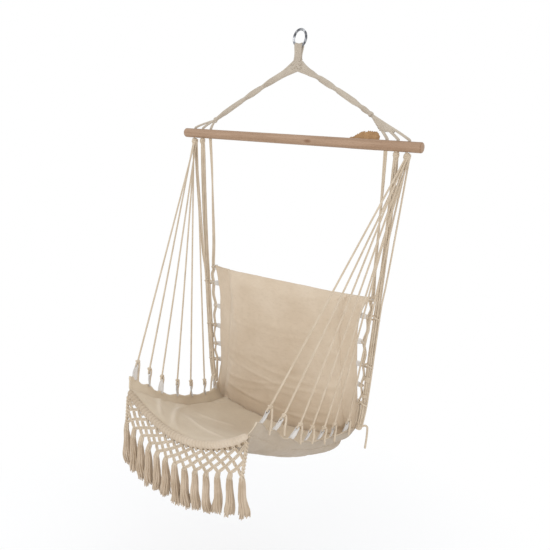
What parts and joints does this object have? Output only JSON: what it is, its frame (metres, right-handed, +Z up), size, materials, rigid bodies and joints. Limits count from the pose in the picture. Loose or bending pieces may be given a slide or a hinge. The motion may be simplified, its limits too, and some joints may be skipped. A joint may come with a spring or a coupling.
{
  "type": "hammock chair",
  "caption": "Hammock chair: a padded sling seat and back on side cords, with a knotted fringe and tassels, hung from a steel ring by a wooden spreader bar.",
  "frame": {"origin": "the point inside the top of the hanging ring that bears on a hook", "axes": "+Z up, -Y to the front of the seat, +X to the right as seen from the front, along the spreader bar"},
  "size_m": [0.9, 0.6091, 1.441],
  "materials": {
    "ring_steel": "polished steel wire",
    "bar_wood": "plain sanded beech",
    "tab": "matt tan, bare",
    "cord": "twisted ecru cotton cord",
    "canvas": "ecru cotton canvas over padding",
    "band_cloth": "ecru cotton canvas with white tape loops"
  },
  "bodies": {
    "ring": {"hanging_ring": "ring_steel"},
    "loop": {"top_loop": "cord", "gathering_knot": "cord"},
    "bridle": {"bridle_leg_right": "cord", "bridle_leg_left": "cord", "spreader_bar": "bar_wood", "bar_tab": "tab"},
    "sling": {"outer_knot_right": "cord", "outer_knot_left": "cord", "fan_cord_1_right": "cord", "fan_cord_1_left": "cord", "fan_cord_2_right": "cord", "fan_cord_2_left": "cord", "fan_cord_3_right": "cord", "fan_cord_3_left": "cord", "fan_cord_4_right": "cord", "fan_cord_4_left": "cord", "fan_cord_5_right": "cord", "fan_cord_5_left": "cord", "fan_cord_6_right": "cord", "fan_cord_6_left": "cord", "fan_cord_7_right": "cord", "fan_cord_7_left": "cord", "outer_cord_right": "cord", "outer_cord_left": "cord", "rear_bundle_right": "cord", "rear_bundle_left": "cord", "lacing_cord_right": "cord", "lacing_cord_left": "cord", "corner_knot_right": "cord", "corner_knot_left": "cord", "seat_pad": "canvas", "back_pad": "canvas", "seat_side_band_right": "band_cloth", "seat_side_band_left": "band_cloth", "back_side_band_right": "band_cloth", "back_side_band_left": "band_cloth", "front_hem": "canvas", "fringe_net": "cord"},
    "tassel_1": {"tassel_1": "cord"},
    "tassel_2": {"tassel_2": "cord"},
    "tassel_3": {"tassel_3": "cord"},
    "tassel_4": {"tassel_4": "cord"},
    "tassel_5": {"tassel_5": "cord"},
    "tassel_6": {"tassel_6": "cord"},
    "tassel_7": {"tassel_7": "cord"},
    "tassel_8": {"tassel_8": "cord"},
    "tassel_9": {"tassel_9": "cord"},
    "tassel_10": {"tassel_10": "cord"},
    "tassel_11": {"tassel_11": "cord"},
    "tassel_12": {"tassel_12": "cord"},
    "tassel_13": {"tassel_13": "cord"}
  },
  "joints": [
    {"name": "bridle_swing", "type": "hinge", "parent": "ring", "child": "loop", "pos_m": [0, 0, -0.0495], "axis": [1, 0, 0], "range_deg": [-35, 35]},
    {"name": "bridle_sway", "type": "hinge", "parent": "loop", "child": "bridle", "pos_m": [0, 0, -0.098], "axis": [0, 1, 0], "range_deg": [-15, 15]},
    {"name": "seat_swing", "type": "hinge", "parent": "bridle", "child": "sling", "pos_m": [0, 0, -0.339], "axis": [1, 0, 0], "range_deg": [-20, 20]},
    {"name": "tassel_1_swing", "type": "hinge", "parent": "sling", "child": "tassel_1", "pos_m": [-0.22227, -0.45578, -1.27573], "axis": [1, 0, 0], "range_deg": [-25, 25]},
    {"name": "tassel_2_swing", "type": "hinge", "parent": "sling", "child": "tassel_2", "pos_m": [-0.18523, -0.46318, -1.28498], "axis": [1, 0, 0], "range_deg": [-25, 25]},
    {"name": "tassel_3_swing", "type": "hinge", "parent": "sling", "child": "tassel_3", "pos_m": [-0.14818, -0.46924, -1.29255], "axis": [1, 0, 0], "range_deg": [-25, 25]},
    {"name": "tassel_4_swing", "type": "hinge", "parent": "sling", "child": "tassel_4", "pos_m": [-0.11113, -0.47395, -1.29843], "axis": [1, 0, 0], "range_deg": [-25, 25]},
    {"name": "tassel_5_swing", "type": "hinge", "parent": "sling", "child": "tassel_5", "pos_m": [-0.07409, -0.47731, -1.30264], "axis": [1, 0, 0], "range_deg": [-25, 25]},
    {"name": "tassel_6_swing", "type": "hinge", "parent": "sling", "child": "tassel_6", "pos_m": [-0.03705, -0.47933, -1.30516], "axis": [1, 0, 0], "range_deg": [-25, 25]},
    {"name": "tassel_7_swing", "type": "hinge", "parent": "sling", "child": "tassel_7", "pos_m": [0, -0.48, -1.306], "axis": [1, 0, 0], "range_deg": [-25, 25]},
    {"name": "tassel_8_swing", "type": "hinge", "parent": "sling", "child": "tassel_8", "pos_m": [0.03705, -0.47933, -1.30516], "axis": [1, 0, 0], "range_deg": [-25, 25]},
    {"name": "tassel_9_swing", "type": "hinge", "parent": "sling", "child": "tassel_9", "pos_m": [0.07409, -0.47731, -1.30264], "axis": [1, 0, 0], "range_deg": [-25, 25]},
    {"name": "tassel_10_swing", "type": "hinge", "parent": "sling", "child": "tassel_10", "pos_m": [0.11114, -0.47395, -1.29843], "axis": [1, 0, 0], "range_deg": [-25, 25]},
    {"name": "tassel_11_swing", "type": "hinge", "parent": "sling", "child": "tassel_11", "pos_m": [0.14818, -0.46924, -1.29255], "axis": [1, 0, 0], "range_deg": [-25, 25]},
    {"name": "tassel_12_swing", "type": "hinge", "parent": "sling", "child": "tassel_12", "pos_m": [0.18523, -0.46318, -1.28498], "axis": [1, 0, 0], "range_deg": [-25, 25]},
    {"name": "tassel_13_swing", "type": "hinge", "parent": "sling", "child": "tassel_13", "pos_m": [0.22227, -0.45578, -1.27573], "axis": [1, 0, 0], "range_deg": [-25, 25]}
  ]
}
